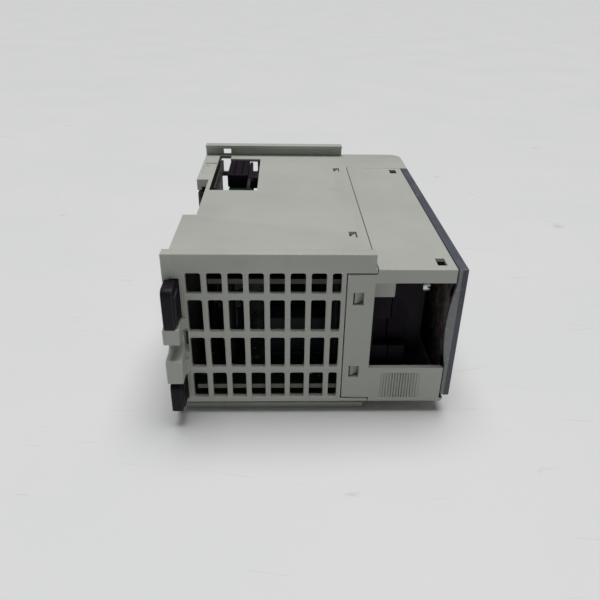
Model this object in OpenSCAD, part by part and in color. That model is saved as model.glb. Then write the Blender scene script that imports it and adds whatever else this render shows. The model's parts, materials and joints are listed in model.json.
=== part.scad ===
// Expansion module for a modular programmable controller, one and a half units wide.
// It lies on its right side: +X points to the hinged door, +Y to the indicator end, +Z to the left side.
// All modules below are written in the body's own frame, where x = 0 is the back, y = 0 is the wire
// exit end and z = 0 is the right side face. placed() moves them to the part's frame.

/* [Body] */
// Length from end face to end face
body_len = 118; // [100:1:150]
// Depth from the rail side to the face of the door
depth = 86.6; // [80:0.1:104]
// Distance between the two side faces
side_w = 46.6; // [39:0.1:60]
// Height of the tongues and rims that stand out of the side faces
rim_h = 4.6; // [4:0.1:6]
// Thickness of the side walls
side_wall = 1.3; // [1:0.1:1.6]
// Thickness of the end walls
end_wall = 1.8; // [1.2:0.1:2.2]
// Thickness of the back wall
back_wall = 1.5; // [1.2:0.1:2]
// Width of the visible seam between two shells
seam = 0.3; // [0.2:0.05:0.5]
// How far the panel tabs and the latches stand out of the end faces
tab_out = 7; // [6:0.5:9]
// Outer corner radius at the indicator end
corner_r = 5; // [3:0.5:7]

/* [Interlock] */
// Length of the rims and tongues along X
rim_len = 60.2; // [50:0.1:64]
// Thickness of a rim's outer wall
rim_wall = 2.3; // [2:0.1:2.8]
// Reach of the rim's inward lip
rim_lip = 3.7; // [3.2:0.1:4.2]
// Thickness of the rim's lip
rim_lip_t = 1.3; // [1:0.1:1.6]
// Clearance between a tongue and its neighbour's groove
groove_gap = 0.3; // [0.2:0.05:0.4]
// Thickness of the web that carries a tongue
tongue_web = 1.5; // [1.2:0.1:2]
// Height of a tongue
tongue_h = 2.1; // [1.8:0.1:2.8]

/* [Vents] */
// Width of a vent slot
vent_w = 4.35; // [3:0.05:5]
// Distance between neighbouring vent columns
vent_pitch = 5.95; // [5.5:0.05:8]
// Height of the bars between the vent rows
vent_bar = 2; // [1.5:0.1:3]
// Corner radius of a vent slot
vent_r = 0.7; // [0.4:0.05:1]

/* [Rail side] */
// Where the rail recess begins along Y
rail_y = 42; // [36:0.5:46]
// Width of the rail recess
rail_gap = 38; // [36:0.5:40]
// Depth of the rail recess
rail_depth = 4.7; // [4.2:0.1:5.4]
// Height of a latch next to the left side
latch_left_h = 12.3; // [10:0.1:13]
// Height of a latch next to the right side
latch_right_h = 9.7; // [8:0.1:10.5]
// Clearance round a latch
latch_gap = 0.3; // [0.2:0.05:0.4]
// How far a closed latch reaches over the rail
hook_reach = 3.4; // [2.6:0.1:4]
// Radius of the open slot in a panel tab
slot_r = 2.85; // [2.2:0.05:3]

/* [Door] */
// Length of the door
door_len = 96.4; // [80:0.1:120]
// Total thickness of the door
door_t = 2.85; // [2.6:0.05:3.2]
// Thickness of the door's skin
door_skin = 1.5; // [1.3:0.1:1.6]
// Height of the door's hinged edge above the right side face
door_lift = 2.3; // [2.2:0.05:2.6]
// How far the door's end flange bows into the wire exit
door_bow = 1.5; // [0.5:0.1:2]
// Radius of the door's hinge pegs
peg_r = 0.5; // [0.4:0.05:0.6]
// Running clearance of a peg in its bore
peg_gap = 0.06; // [0.03:0.01:0.09]

/* [Wiring] */
// Height of the wire exit's sill
exit_sill = 12.8; // [11:0.1:14]
// Length of the terminal block
block_len = 88; // [72:1:88]
// Width of the terminal block across the body
block_w = 38.4; // [35:0.1:39]
// Thickness of the finger cover in front of the terminals
cover_t = 6; // [4:0.1:6.2]
// Number of terminals in each of the two rows
terminals = 9; // [6:1:9]
// Reach of the lip that the front shell holds under the door
foot_r = 1.3; // [1:0.1:1.4]
// Width of the hollow thumb grip
grip_w = 12; // [8:0.5:13]
// Number of grooves in the thumb grip
rib_count = 15; // [10:1:15]

/* [Bus] */
// How far the bus connector comes out of the left side
bus_travel = 4.5; // [3.5:0.1:4.6]
// Contacts in each of the two rows of the bus connector
bus_count = 12; // [8:1:12]
// Contact spacing
bus_pitch = 1.6; // [1.4:0.05:1.65]

/* [Hidden] */
$fn = 48;
over = 1;                                   // how far a cut runs past a face
plate_z = side_w - side_wall;               // underside of the left side wall
board_t = 1.6;

// Seams and the cut-back of the front shell.
side_seam_x = rim_len + 0.6;
end_seam_x = side_seam_x - 8.6;
door_x = depth - door_t;
front_edge_x = door_x - 0.25;
cap_y = door_len + 0.8;
cap_step = 2.2;
step_x = side_seam_x + 6.5;
tongue_y = [20, cap_y - 8];                 // where the side tongues that join the two shells start

// Rail side.
rail_end = rail_y + rail_gap;
far_back = body_len - rail_end;
latch_x0 = 0.5;
latch_left_z = side_w - 3.2 - latch_left_h;
latch_right_z = side_wall + 0.6;
tab_z0 = latch_right_z + latch_right_h + 2 * latch_gap;
tab_z1 = latch_left_z - latch_gap;
slot_z = tab_z0 + 0.58 * (tab_z1 - tab_z0);
slot_y = -2.3;
lip_t = 1.9;
lip_in = 1.4;

// Vents.
vent_x = rail_depth + back_wall + 0.2;
vent_sill = side_wall + 0.5;
vent_cols = floor((end_seam_x - vent_x) / vent_pitch);
vent_rows = [9.4, 10.75, 10.75, 6.6];
vent_span = plate_z - vent_sill - 3 * vent_bar;
vent_scale = vent_span / (vent_rows[0] + vent_rows[1] + vent_rows[2] + vent_rows[3]);

// Bus connector and its opening in the left side wall.
bus_x = rail_depth + back_wall;
bus_open_w = 18;
bus_open_y = rail_end - 12.5;
bus_open_len = body_len - 8.4 - bus_open_y;
socket_w = 8.2;
socket_x = bus_x + 5.3;
socket_len = bus_count * bus_pitch + 1.8;
socket_y = bus_open_y + bus_open_len - 1.1 - socket_len;
bus_top = side_w - 0.4;
lever_x = socket_x + socket_w + 0.2;
lever_w = bus_x + bus_open_w - 0.3 - lever_x;
lever_y1 = bus_open_y + bus_open_len - 2;
arm_y = lever_y1 - 3.6;
web_w = 1.2;
arm_top = side_w - 14;
arm_h = 4;
thumb_x = side_seam_x + 5;
thumb_w = 8;

// Boards.
logic_z = side_w - 7.4;
power_z = side_wall + 2.3;
power_top = power_z + board_t;
board_x0 = bus_x + 1;
logic_x0 = bus_x + 5.8;
board_x1 = side_seam_x - 5;
logic_y0 = end_wall + 3.7;
logic_y1 = arm_y - 0.9;
power_y0 = end_wall + 0.6;
parts_y0 = end_wall + 10.2;
power_y1 = body_len - end_wall - 3;
post_r = 2.4;
foot_post_r = 3;
screw_r = 1;
post_x = [board_x1 - 4.5, logic_x0 + 4.5];
post_y = [parts_y0 + 4, min(socket_y - 13, tongue_y[1] - foot_post_r - 0.3)];

// Wiring bay: board, header, terminal block and cover stand one in front of the other.
term_board_x = board_x1 + 0.4;
header_x = term_board_x + board_t;
block_x = side_seam_x + 6;
cover_x = block_x + 5.3;
ear_x = cover_x + 3.4;
block_y = end_wall + 3.4;
block_z = side_w - 4.6 - block_w;
block_end = 6;
ear_h = 8.1;
retain_z = block_z + block_w - ear_h / 2;
term_pitch = (block_len - 2 * block_end - 3) / terminals;
term_y0 = block_y + block_end + 1.5 + term_pitch / 2;
term_z = [block_z + 0.27 * block_w, block_z + 0.73 * block_w];
term_r = 1.9;
clamp_d = 2.6;
pin_r = 0.5;

// Hollow thumb grip below the wire exit, deepest in its middle.
grip_x = side_seam_x + 9.7;
grip_depth = 0.75;
grip_side = 0.15;
grip_r = (grip_w * grip_w / 4 + pow(grip_depth - grip_side, 2)) / (2 * (grip_depth - grip_side));

// Boss that hangs in the wire exit.
boss_h = 10.3;
boss_x = step_x - 0.35;
boss_r = 1.1;
boss_y0 = end_wall + 0.8;

// Door hinge line, round which the door's inner corner is rounded.
hinge_x = door_x + 1.25;
hinge_z = door_lift + 1.25;
lug_r = 0.9;
lug_y0 = end_wall + 0.1;
lug_w = 2.4;

// Moves a piece from the body's own frame to the part's frame.
module placed() {
    translate([-depth / 2, -body_len / 2, rim_h]) children();
}

// Draws its children at the wire exit end and again, mirrored, at the indicator end.
module both_ends() {
    children();
    translate([0, body_len, 0]) mirror([0, 1, 0]) children();
}

// Draws its children at the left side and again, mirrored, at the right side.
module both_sides() {
    children();
    translate([0, 0, side_w]) mirror([0, 0, 1]) children();
}

// A box given by its two opposite corners.
module block(low, high) {
    translate(low) cube(high - low);
}

// A cylinder along X.
module rod_x(x0, x1, y, z, r) {
    translate([x0, y, z]) rotate([0, 90, 0]) cylinder(h = x1 - x0, r = r);
}

// A cylinder along Z.
module rod_z(z0, z1, x, y, r) {
    translate([x, y, z0]) cylinder(h = z1 - z0, r = r);
}

// A cylinder along Y.
module rod_y(y0, y1, x, z, r) {
    translate([x, y0, z]) rotate([-90, 0, 0]) cylinder(h = y1 - y0, r = r);
}

// A rectangle with round corners, drawn from its lowest corner.
module round_rect(w, h, r) {
    translate([r, 0]) square([w - 2 * r, h]);
    translate([0, r]) square([w, h - 2 * r]);
    for (x = [r, w - r], y = [r, h - r]) translate([x, y]) circle(r, $fn = 24);
}

function vent_row_z(row) = vent_sill
    + (row > 0 ? vent_rows[0] * vent_scale + vent_bar : 0)
    + (row > 1 ? vent_rows[1] * vent_scale + vent_bar : 0)
    + (row > 2 ? vent_rows[2] * vent_scale + vent_bar : 0);

// The rows and columns of slots that are cut from an end wall.
module vent_cuts() {
    rotate([90, 0, 0]) translate([0, 0, -end_wall - over]) linear_extrude(end_wall + 2 * over)
        for (col = [0 : vent_cols], row = [0 : 3]) {
            x = vent_x + col * vent_pitch;
            w = min(vent_w, end_seam_x - 1.5 - x);
            if (w > 2 * vent_r + 0.3)
                translate([x, vent_row_z(row)]) round_rect(w, vent_rows[row] * vent_scale, vent_r);
        }
}

// Outline of the indicator end, which reaches forward to the door's front face.
module cap_outline(inset) {
    back = end_seam_x - 2;
    r = corner_r - inset;
    translate([back, cap_y]) square([depth - corner_r - back, body_len - inset - cap_y]);
    translate([back, cap_y]) square([depth - inset - back, body_len - corner_r - cap_y]);
    translate([depth - corner_r, body_len - corner_r]) circle(r);
}

// Outline of a side wall, with the rail recess at the back and the step at the front.
module rear_side_outline() {
    difference() {
        union() {
            square([side_seam_x - seam / 2, body_len]);
            cap_outline(0);
        }
        translate([-over, rail_y]) square([rail_depth + over, rail_gap]);
        front_side_outline(seam / 2, over);
    }
}

// Outline of the front shell's side wall, grown by half a seam where it meets the rear shell.
module front_side_outline(grow, past) {
    x0 = side_seam_x + seam / 2 - grow;
    x1 = front_edge_x + (grow > 0 ? door_t + 2 * past : 0);
    y1 = cap_y - seam / 2 - (grow > 0 ? 0 : seam / 2);
    polygon([[x0, grow > 0 ? -past : 0], [x1, grow > 0 ? -past : 0], [x1, y1], [step_x + 1.2, y1],
             [step_x, y1 + cap_step], [x0, y1 + cap_step]]);
}

// One latch channel, wide inside and narrower at the open back.
module latch_channel(z0, h, len) {
    g = latch_gap;
    block([lip_t, -over, z0 - g], [rail_depth, len + over, z0 + h + g]);
    block([-over, -over, z0 + lip_in - g], [lip_t + over, len + over, z0 + h - lip_in + g]);
}

// Half of the back: the thick part between one end face and the rail recess.
module back_block(len) {
    difference() {
        block([0, 0, 0], [rail_depth + 0.1, len, side_w]);
        latch_channel(latch_left_z, latch_left_h, len);
        latch_channel(latch_right_z, latch_right_h, len);
        for (i = [0 : 2]) {
            pocket = (len - 10) / 3;
            block([-over, 6 + i * pocket, tab_z0 + 1.6],
                  [rail_depth - 1.4, 4.6 + (i + 1) * pocket, tab_z1 - 1.6]);
        }
    }
}

// Open slotted tab for screwing the module to a panel, with sloped gussets beside the screw head.
module panel_tab() {
    block([0, -tab_out, tab_z0], [rail_depth, 0.1, tab_z1]);
    for (z = [[tab_z0, 4.4], [tab_z1 - 3.2, 3.2]])
        translate([0, 0, z[0]]) linear_extrude(z[1])
            polygon([[rail_depth - 0.1, 0.1], [rail_depth - 0.1, -2.4],
                     [rail_depth + 1.3, 0], [rail_depth + 1.3, 0.1]]);
}

// The open slot, with the hollow that lets the screw's head in.
module slot_cut() {
    rod_x(-over, vent_x - 0.4, slot_y, slot_z, slot_r);
    block([-over, -tab_out - over, slot_z - slot_r], [vent_x - 0.4, slot_y, slot_z + slot_r]);
    rod_x(rail_depth, vent_x - 0.35, slot_y, slot_z, slot_r + 1.9);
}

// Rim on the left side and tongue on the right side that lock neighbouring modules together.
module interlock() {
    tongue_y = rim_wall + groove_gap;
    web_y = rim_lip + groove_gap;
    block([0, 0, side_w - 0.1], [rim_len, rim_wall, side_w + rim_h]);
    block([0, 0, side_w + rim_h - rim_lip_t], [rim_len, rim_lip, side_w + rim_h]);
    block([2.9, web_y, -rim_h], [rim_len - 0.5, web_y + tongue_web, 0.1]);
    block([2.9, tongue_y, -rim_h], [rim_len - 0.5, web_y + 0.1, tongue_h - rim_h]);
}

// Wedge hook on the rear shell's inner tongue that springs into a window of the front shell.
module end_hook(z0) {
    block([end_seam_x - 1.5, end_wall + seam, z0 - 2], [end_seam_x + 6.8, end_wall + seam + 1.3, z0 + 6.2]);
    block([end_seam_x - 1.5, 0.5, z0 - 2], [end_seam_x - 0.2, end_wall + seam + 1.3, z0 + 6.2]);
    translate([0, 0, z0 + 2.3]) linear_extrude(3.6)
        polygon([[end_seam_x + 2.5, end_wall + seam + 0.1], [end_seam_x + 2.5, 0.5],
                 [end_seam_x + 4.8, end_wall + seam + 0.1]]);
}

// Window in the front shell's end wall for an end hook.
module end_window(z0) {
    block([end_seam_x + 2.05, -over, z0], [end_seam_x + 5.15, end_wall + over, z0 + 4.2]);
}

// Windows of the rear shell's side walls, which show the front shell's hooks.
module side_windows() {
    for (y = [23, cap_y - 4.8])
        block([side_seam_x - 5.8, y, plate_z - over], [side_seam_x - 3.3, y + 4.7, side_w + over]);
}

module rear_housing() {
    color("#9a9d96") placed() difference() {
        union() {
            both_sides() translate([0, 0, plate_z]) linear_extrude(side_wall) rear_side_outline();
            both_ends() block([rail_depth, 0, 0.1], [end_seam_x - seam / 2, end_wall, side_w - 0.1]);
            linear_extrude(side_w) difference() {
                cap_outline(0);
                cap_outline(end_wall);
            }
            linear_extrude(side_w) intersection() {
                cap_outline(0);
                translate([step_x + 1.2, cap_y]) square([depth, end_wall]);
            }
            block([rail_depth, 0, 0.1], [rail_depth + back_wall, body_len, side_w - 0.1]);
            back_block(rail_y);
            translate([0, body_len, 0]) mirror([0, 1, 0]) back_block(far_back);
            both_ends() panel_tab();
            both_ends() interlock();
            for (z = [7.3, side_w - 13.7]) end_hook(z);
            for (x = post_x, y = post_y) translate([x, y, 0.1]) cylinder(h = power_z - 0.1, r = foot_post_r);
            block([bus_x - 0.1, bus_open_y - 2, logic_z - 1], [bus_x + 5, bus_open_y + 10, logic_z + 2]);
            block([bus_x + 0.5, bus_open_y + 9, logic_z],
                  [bus_x + 1.3, body_len - end_wall + 0.1, plate_z - 1]);
        }
        both_ends() vent_cuts();
        both_ends() slot_cut();
        block([7.6, body_len - rim_wall - 0.4, side_w + 0.2],
              [11, body_len + over, side_w + rim_h - rim_lip_t - 0.6]);
        side_windows();
        translate([0, 0, side_w]) mirror([0, 0, 1]) side_windows();
        block([bus_x, bus_open_y, plate_z - over],
              [bus_x + bus_open_w, bus_open_y + bus_open_len, side_w + over]);
        block([bus_x, bus_open_y + 1, plate_z - over], [bus_x + 5, body_len - 3.8, side_w + 0.01]);
        block([1, rail_end + 8.5, side_w - 0.5], [bus_x - 0.4, body_len - 15, side_w + over]);
        translate([2, body_len - 17, side_w - 1]) cylinder(h = 2, r = 0.45);
        block([socket_x - 0.2, socket_y - 0.2, -over],
              [socket_x + socket_w + 0.2, socket_y + socket_len + 0.2, side_wall + over]);
        block([thumb_x - 0.5, body_len - end_wall - over, arm_top - arm_h - 0.4],
              [thumb_x + thumb_w + 0.5, body_len + over, arm_top + bus_travel + 1.4]);
        block([depth - end_wall - over, cap_y + 4, 8], [depth + over, body_len - corner_r - 1, side_w - 8]);
        rod_y(cap_y - over, cap_y + 1.3, hinge_x, hinge_z, peg_r + peg_gap);
    }
}

module front_housing() {
    z_lo = side_wall + seam;
    z_hi = plate_z - seam;
    color("#a0a39c") placed() difference() {
        union() {
            both_sides() {
                translate([0, 0, plate_z]) linear_extrude(side_wall) front_side_outline(0, 0);
                for (y = tongue_y) {
                    block([side_seam_x - 7, y, z_hi - 1.3], [side_seam_x + 3, y + 10, z_hi]);
                    block([side_seam_x + seam / 2, y, z_hi - 1.3], [side_seam_x + 3, y + 10, plate_z + 0.1]);
                }
            }
            block([end_seam_x + seam / 2, 0, z_lo], [side_seam_x + 1, end_wall, z_hi]);
            block([side_seam_x + seam / 2, 0, 0], [front_edge_x, end_wall, side_w]);
            block([step_x + 1.2, cap_y - seam - end_wall, 0.1], [front_edge_x, cap_y - seam, side_w - 0.1]);
            block([side_seam_x + 0.5, boss_y0, side_w - boss_h],
                  [boss_x - boss_r, boss_y0 + 2 * boss_r, plate_z + 0.1]);
            block([end_seam_x + 7.1, boss_y0, side_w - boss_h],
                  [boss_x - boss_r, boss_y0 + 2 * boss_r, side_w - 3]);
            rod_z(side_w - boss_h, plate_z + 0.1, boss_x - boss_r, boss_y0 + boss_r, boss_r);
            rod_y(lug_y0, lug_y0 + lug_w, hinge_x, hinge_z, lug_r);
            block([front_edge_x - 0.1, lug_y0, hinge_z - lug_r], [hinge_x, lug_y0 + lug_w, hinge_z]);
            block([front_edge_x - 2, end_wall - 0.1, 0.5], [front_edge_x, lug_y0 + lug_w, hinge_z]);
            intersection() {
                rod_y(0, cap_y - seam, front_edge_x, foot_r, foot_r);
                block([front_edge_x - foot_r, 0, 0], [depth, cap_y, min(foot_r, side_wall)]);
            }
            both_sides() for (y = [23, cap_y - 4.8])
                translate([0, y + 4.2, 0]) rotate([90, 0, 0]) linear_extrude(3.7)
                polygon([[side_seam_x - 5.4, z_hi - 0.1], [side_seam_x - 3.7, side_w - 0.4],
                         [side_seam_x - 3.7, z_hi - 0.1]]);
        }
        block([end_seam_x + 8.1, -over, exit_sill], [front_edge_x + over, end_wall + over, side_w - 4.4]);
        for (z = [7.3, side_w - 13.7]) end_window(z + 2);
        for (y = [3, cap_y - 7.2])
            block([door_x - 5.35, y, plate_z - over], [door_x - 2.65, y + 4.8, side_w + over]);
        intersection() {
            for (i = [0 : rib_count - 1]) {
                x = grip_x - grip_w / 2 + i * grip_w / (rib_count - 1);
                block([x - 0.22, -over, 1.5], [x + 0.22, 1, exit_sill - 1.8]);
            }
            rod_z(0, exit_sill, grip_x, grip_depth - grip_r, grip_r);
        }
        rod_y(0, lug_y0 + lug_w + over, hinge_x, hinge_z, peg_r + peg_gap);
    }
}

module door() {
    edge_r = hinge_x - door_x;
    z0 = exit_sill + 0.6;
    z1 = side_w - 5;
    bow_r = ((z1 - z0) * (z1 - z0) / 4 + door_bow * door_bow) / (2 * door_bow);
    color("#474c57") placed() {
        difference() {
            union() {
                block([hinge_x, 0, door_lift], [depth, door_len, side_w]);
                block([door_x, 0, hinge_z], [depth, door_len, side_w]);
                rod_y(0, door_len, hinge_x, hinge_z, edge_r);
            }
            block([door_x - over, door_skin, hinge_z + 0.1],
                  [depth - door_skin, door_len - door_skin, side_w - 1.6]);
            block([door_x - over, door_skin, door_lift - over],
                  [hinge_x + lug_r + 0.06, lug_y0 + lug_w + 0.4, hinge_z + lug_r + 0.15]);
        }
        intersection() {
            block([door_x - door_bow, 0, z0], [door_x + 0.1, door_skin, z1]);
            rod_y(-over, door_skin + over, door_x - door_bow + bow_r, (z0 + z1) / 2, bow_r);
        }
        rod_y(door_skin - 0.1, lug_y0 + lug_w + 0.2, hinge_x, hinge_z, peg_r);
        rod_y(door_len - 0.1, cap_y + 1, hinge_x, hinge_z, peg_r);
    }
}

module door_label() {
    color("#b9a994") placed()
        block([depth - door_skin - 0.4, door_skin + 4, door_lift + 3],
              [depth - door_skin - 0.1, door_len - 3, side_w - 4]);
}

module light_pipe() {
    g = 0.15;
    color("#d8dcd6") placed() {
        block([depth - 1.6, cap_y + 4 + g, 8 + g],
              [depth - 0.2, body_len - corner_r - 1 - g, side_w - 8 - g]);
        block([depth - end_wall - 1, cap_y + 3, 7],
              [depth - end_wall - 0.05, body_len - corner_r - 0.2, side_w - 7]);
        block([depth - end_wall - 0.06, cap_y + 5, 9], [depth - 1.5, body_len - corner_r - 2, side_w - 9]);
    }
}

module led_board() {
    color("#2f6b45") placed()
        block([depth - 8, cap_y + end_wall + 0.6, 6],
              [depth - 8 + board_t, body_len - end_wall - 0.8, arm_top - arm_h - 1]);
}

module status_leds() {
    count = 8;
    z0 = 10;
    step = (arm_top - arm_h - 4 - z0) / (count - 1);
    color("#8fbf5a") placed() for (i = [0 : count - 1], row = [0, 1])
        block([depth - 8 + board_t, cap_y + 6 + row * 4, z0 + i * step - 0.6],
              [depth - 8 + board_t + 0.9, cap_y + 8 + row * 4, z0 + i * step + 0.6]);
}

module logic_board() {
    color("#2f6b45") placed() difference() {
        block([logic_x0, logic_y0, logic_z], [board_x1, logic_y1, logic_z + board_t]);
        for (x = post_x, y = post_y) rod_z(logic_z - over, logic_z + board_t + over, x, y, screw_r + 0.2);
        block([lever_x + web_w, socket_y - 9, logic_z - over],
              [lever_x + lever_w + 1.2, logic_y1 + over, logic_z + board_t + over]);
    }
}

module power_board() {
    color("#2f6b45") placed() block([board_x0, power_y0, power_z], [board_x1, power_y1, power_top]);
}

module terminal_board() {
    color("#2f6b45") placed()
        block([term_board_x, block_y, power_z],
              [term_board_x + board_t, block_y + block_len, logic_z + board_t]);
}

module board_spacers() {
    color("#d9d4c5") placed() for (x = post_x, y = post_y) difference() {
        translate([x, y, power_top]) cylinder(h = logic_z - power_top, r = post_r);
        translate([x, y, logic_z - 9]) cylinder(h = 9 + over, r = screw_r + 0.05);
    }
}

module board_screws() {
    color("#b8babc") placed() for (x = post_x, y = post_y) difference() {
        union() {
            translate([x, y, logic_z - 8]) cylinder(h = 8 + board_t, r = screw_r);
            translate([x, y, logic_z + board_t]) cylinder(h = 1.5, r = 2);
        }
        translate([x - 1.4, y - 0.25, logic_z + board_t + 0.9]) cube([2.8, 0.5, 1]);
    }
}

module relays() {
    color("#1e2a3a") placed() for (i = [0 : 3])
        block([board_x1 - 27.5, parts_y0 + 5 + i * 14, power_top],
              [board_x1 - 7.5, parts_y0 + 16 + i * 14, power_top + 15.6]);
}

module capacitors() {
    color("#3a3340") placed() for (i = [0 : 2])
        translate([board_x0 + 9, parts_y0 + 14 + i * 13, power_top]) cylinder(h = 16, r = 5);
}

module logic_chips() {
    color("#26262a") placed() for (i = [0 : 3])
        block([logic_x0 + 12, logic_y0 + 14 + i * 17, logic_z + board_t],
              [logic_x0 + 26 - 4 * (i % 2), logic_y0 + 24 + i * 17, logic_z + board_t + 1.5]);
}

// Calls its children at each contact of the bus connector.
module bus_grid() {
    for (i = [0 : bus_count - 1], row = [0, 1])
        translate([socket_x + socket_w / 2 + (row - 0.5) * 3, socket_y + 0.9 + (i + 0.5) * bus_pitch, 0])
            children();
}

module bus_connector() {
    color("#1d191f") placed() difference() {
        block([socket_x, socket_y, logic_z + board_t + 0.4],
              [socket_x + socket_w, socket_y + socket_len, bus_top]);
        bus_grid() translate([0, 0, logic_z]) cylinder(h = 12, r = 0.45, $fn = 16);
    }
}

module bus_pins() {
    color("#c9a54a") placed() bus_grid()
        translate([0, 0, logic_z + board_t]) cylinder(h = 4.4, r = 0.32, $fn = 16);
}

module bus_lever() {
    color("#232026") placed() {
        block([lever_x, bus_open_y + 0.5, logic_z + board_t + 0.4],
              [lever_x + web_w, lever_y1, bus_top - 0.6]);
        block([lever_x, socket_y - 2, logic_z + board_t + 0.4],
              [lever_x + lever_w, socket_y + 6, bus_top - 0.3]);
        block([lever_x, arm_y, arm_top - arm_h], [lever_x + web_w, lever_y1, bus_top - 0.6]);
        block([lever_x, arm_y, arm_top - arm_h], [thumb_x + thumb_w, lever_y1, arm_top]);
        block([thumb_x, arm_y, arm_top - arm_h], [thumb_x + thumb_w, body_len + 3, arm_top]);
        block([thumb_x, body_len + 1.2, arm_top - arm_h], [thumb_x + thumb_w, body_len + 3, arm_top + 1]);
    }
}

module fixed_connector() {
    color("#1d191f") placed() difference() {
        block([socket_x, socket_y, 0.2], [socket_x + socket_w, socket_y + socket_len, power_z]);
        block([socket_x + 0.8, socket_y + 0.7, -over],
              [socket_x + socket_w - 0.8, socket_y + socket_len - 0.7, 2.4]);
        bus_grid() cylinder(h = power_z + over, r = 0.4, $fn = 16);
    }
}

module fixed_pins() {
    color("#c9a54a") placed() bus_grid()
        translate([0, 0, 0.5]) cylinder(h = power_z - 0.5, r = 0.32, $fn = 16);
}

// Side view of a latch's head, whose outer corner on the left side is round.
module latch_head(z0, h) {
    r = 2;
    translate([-tab_out, z0]) square([tab_out - 0.2, h - r]);
    translate([r - tab_out, z0]) square([tab_out - 0.2 - r, h]);
    translate([r - tab_out, z0 + h - r]) circle(r);
}

// A sliding rail latch: a head outside the end face, a guided stem and a hook over the rail.
module latch(z0, h, reach) {
    translate([latch_x0, 0, 0]) rotate([90, 0, 90])
        linear_extrude(rail_depth - 0.9 - latch_x0) latch_head(z0, h);
    block([latch_x0, 1 - tab_out, z0 + 1], [rail_depth - 0.2, -0.2, z0 + h - 2.6]);
    block([lip_t + 0.2, -0.3, z0], [rail_depth - 0.2, reach - 0.3, z0 + h]);
    block([latch_x0, -0.3, z0 + lip_in], [lip_t + 0.3, reach - 0.3, z0 + h - lip_in]);
    translate([0, 0, z0 + lip_in]) linear_extrude(h - 2 * lip_in)
        polygon([[latch_x0, reach - 0.4], [rail_depth - 1.4, reach - 0.4],
                 [rail_depth - 1.4, reach + hook_reach],
                 [latch_x0 + 1, reach + hook_reach], [latch_x0, reach + hook_reach - 1.6]]);
}

module latch_bottom_left() {
    color("#1f1b21") placed() latch(latch_left_z, latch_left_h, rail_y);
}

module latch_bottom_right() {
    color("#1f1b21") placed() latch(latch_right_z, latch_right_h, rail_y);
}

module latch_top_left() {
    color("#1f1b21") placed() translate([0, body_len, 0]) mirror([0, 1, 0])
        latch(latch_left_z, latch_left_h, far_back);
}

module latch_top_right() {
    color("#1f1b21") placed() translate([0, body_len, 0]) mirror([0, 1, 0])
        latch(latch_right_z, latch_right_h, far_back);
}

// Calls its children at each terminal, with the origin at the block's back face.
module terminal_grid() {
    for (i = [0 : terminals - 1], z = term_z) translate([block_x, term_y0 + i * term_pitch, z]) children();
}

module terminal_header() {
    color("#1f1b21") placed() difference() {
        block([header_x, block_y, block_z], [block_x - 0.3, block_y + block_len, block_z + block_w]);
        block([header_x + 4, block_y + block_end - 0.5, block_z + 1.5],
              [block_x, block_y + block_len - block_end + 0.5, block_z + block_w - 1.5]);
        terminal_grid() rotate([0, -90, 0]) cylinder(h = block_x, r = pin_r + 0.05, $fn = 24);
        retaining_places() rod_x(header_x - over, block_x, 0, 0, screw_r + 0.25);
        end_pockets();
    }
}

// Calls its children where each retaining screw stands.
module retaining_places() {
    for (y = [block_y + block_end / 2, block_y + block_len - block_end / 2])
        translate([0, y, retain_z]) children();
}

// Hollows in both ends of the header and the terminal block, where a finger grips the block.
module end_pockets() {
    for (y = [block_y - over, block_y + block_len - 4])
        block([header_x + 4, y, retain_z - 20.2], [block_x + 9, y + 4 + over, retain_z - ear_h / 2 - 6.4]);
}

module header_pins() {
    color("#c9a54a") placed() terminal_grid() translate([header_x - block_x, 0, 0]) rotate([0, 90, 0])
        cylinder(h = block_x - header_x + 2, r = pin_r, $fn = 24);
}

module terminal_block() {
    color("#1f1b21") placed() difference() {
        union() {
            block([block_x, block_y, block_z], [cover_x - 0.2, block_y + block_len, block_z + block_w]);
            for (y = [block_y, block_y + block_len - block_end])
                block([block_x + 1, y, retain_z - ear_h / 2],
                      [ear_x, y + block_end, block_z + block_w]);
        }
        terminal_grid() {
            rotate([0, 90, 0]) translate([0, 0, -over])
                cylinder(h = 2 + 2 * over, r = pin_r + 0.15, $fn = 24);
            translate([clamp_d, 0, 0]) rotate([0, 90, 0]) cylinder(h = 10, r = term_r + 0.2);
        }
        for (i = [0 : terminals - 1]) {
            y = term_y0 + i * term_pitch;
            block([block_x + clamp_d, y - 1.4, block_z - over],
                  [block_x + clamp_d + 1.4, y + 1.4, term_z[0]]);
            block([block_x + clamp_d, y - 1.4, term_z[1]],
                  [block_x + clamp_d + 1.4, y + 1.4, block_z + block_w + over]);
        }
        retaining_places() rod_x(block_x - over, ear_x + over, 0, 0, screw_r + 0.08);
        end_pockets();
    }
}

module terminal_screws() {
    color("#b8babc") placed() terminal_grid() difference() {
        translate([clamp_d + 1.5, 0, 0]) rotate([0, 90, 0]) cylinder(h = 1.1, r = term_r);
        translate([clamp_d + 2.1, -term_r, -0.25]) cube([1, 2 * term_r, 0.5]);
    }
}

module terminal_clamps() {
    color("#b8babc") placed() terminal_grid() translate([clamp_d + 0.05, -1.3, -1.3]) cube([0.9, 2.6, 2.6]);
}

module finger_cover() {
    z1 = block_z + block_w + 1.2;
    color("#2a262c") placed() difference() {
        block([cover_x, block_y + block_end + 0.3, block_z],
              [cover_x + cover_t, block_y + block_len - block_end - 0.3, z1]);
        terminal_grid() rotate([0, 90, 0]) cylinder(h = 20, r = term_r - 0.1);
        block([cover_x + cover_t - 2, block_y + block_end + 1.2, block_z + block_w * 0.38],
              [cover_x + cover_t + over, block_y + block_len - block_end - 1.2, block_z + block_w * 0.62]);
    }
}

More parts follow.
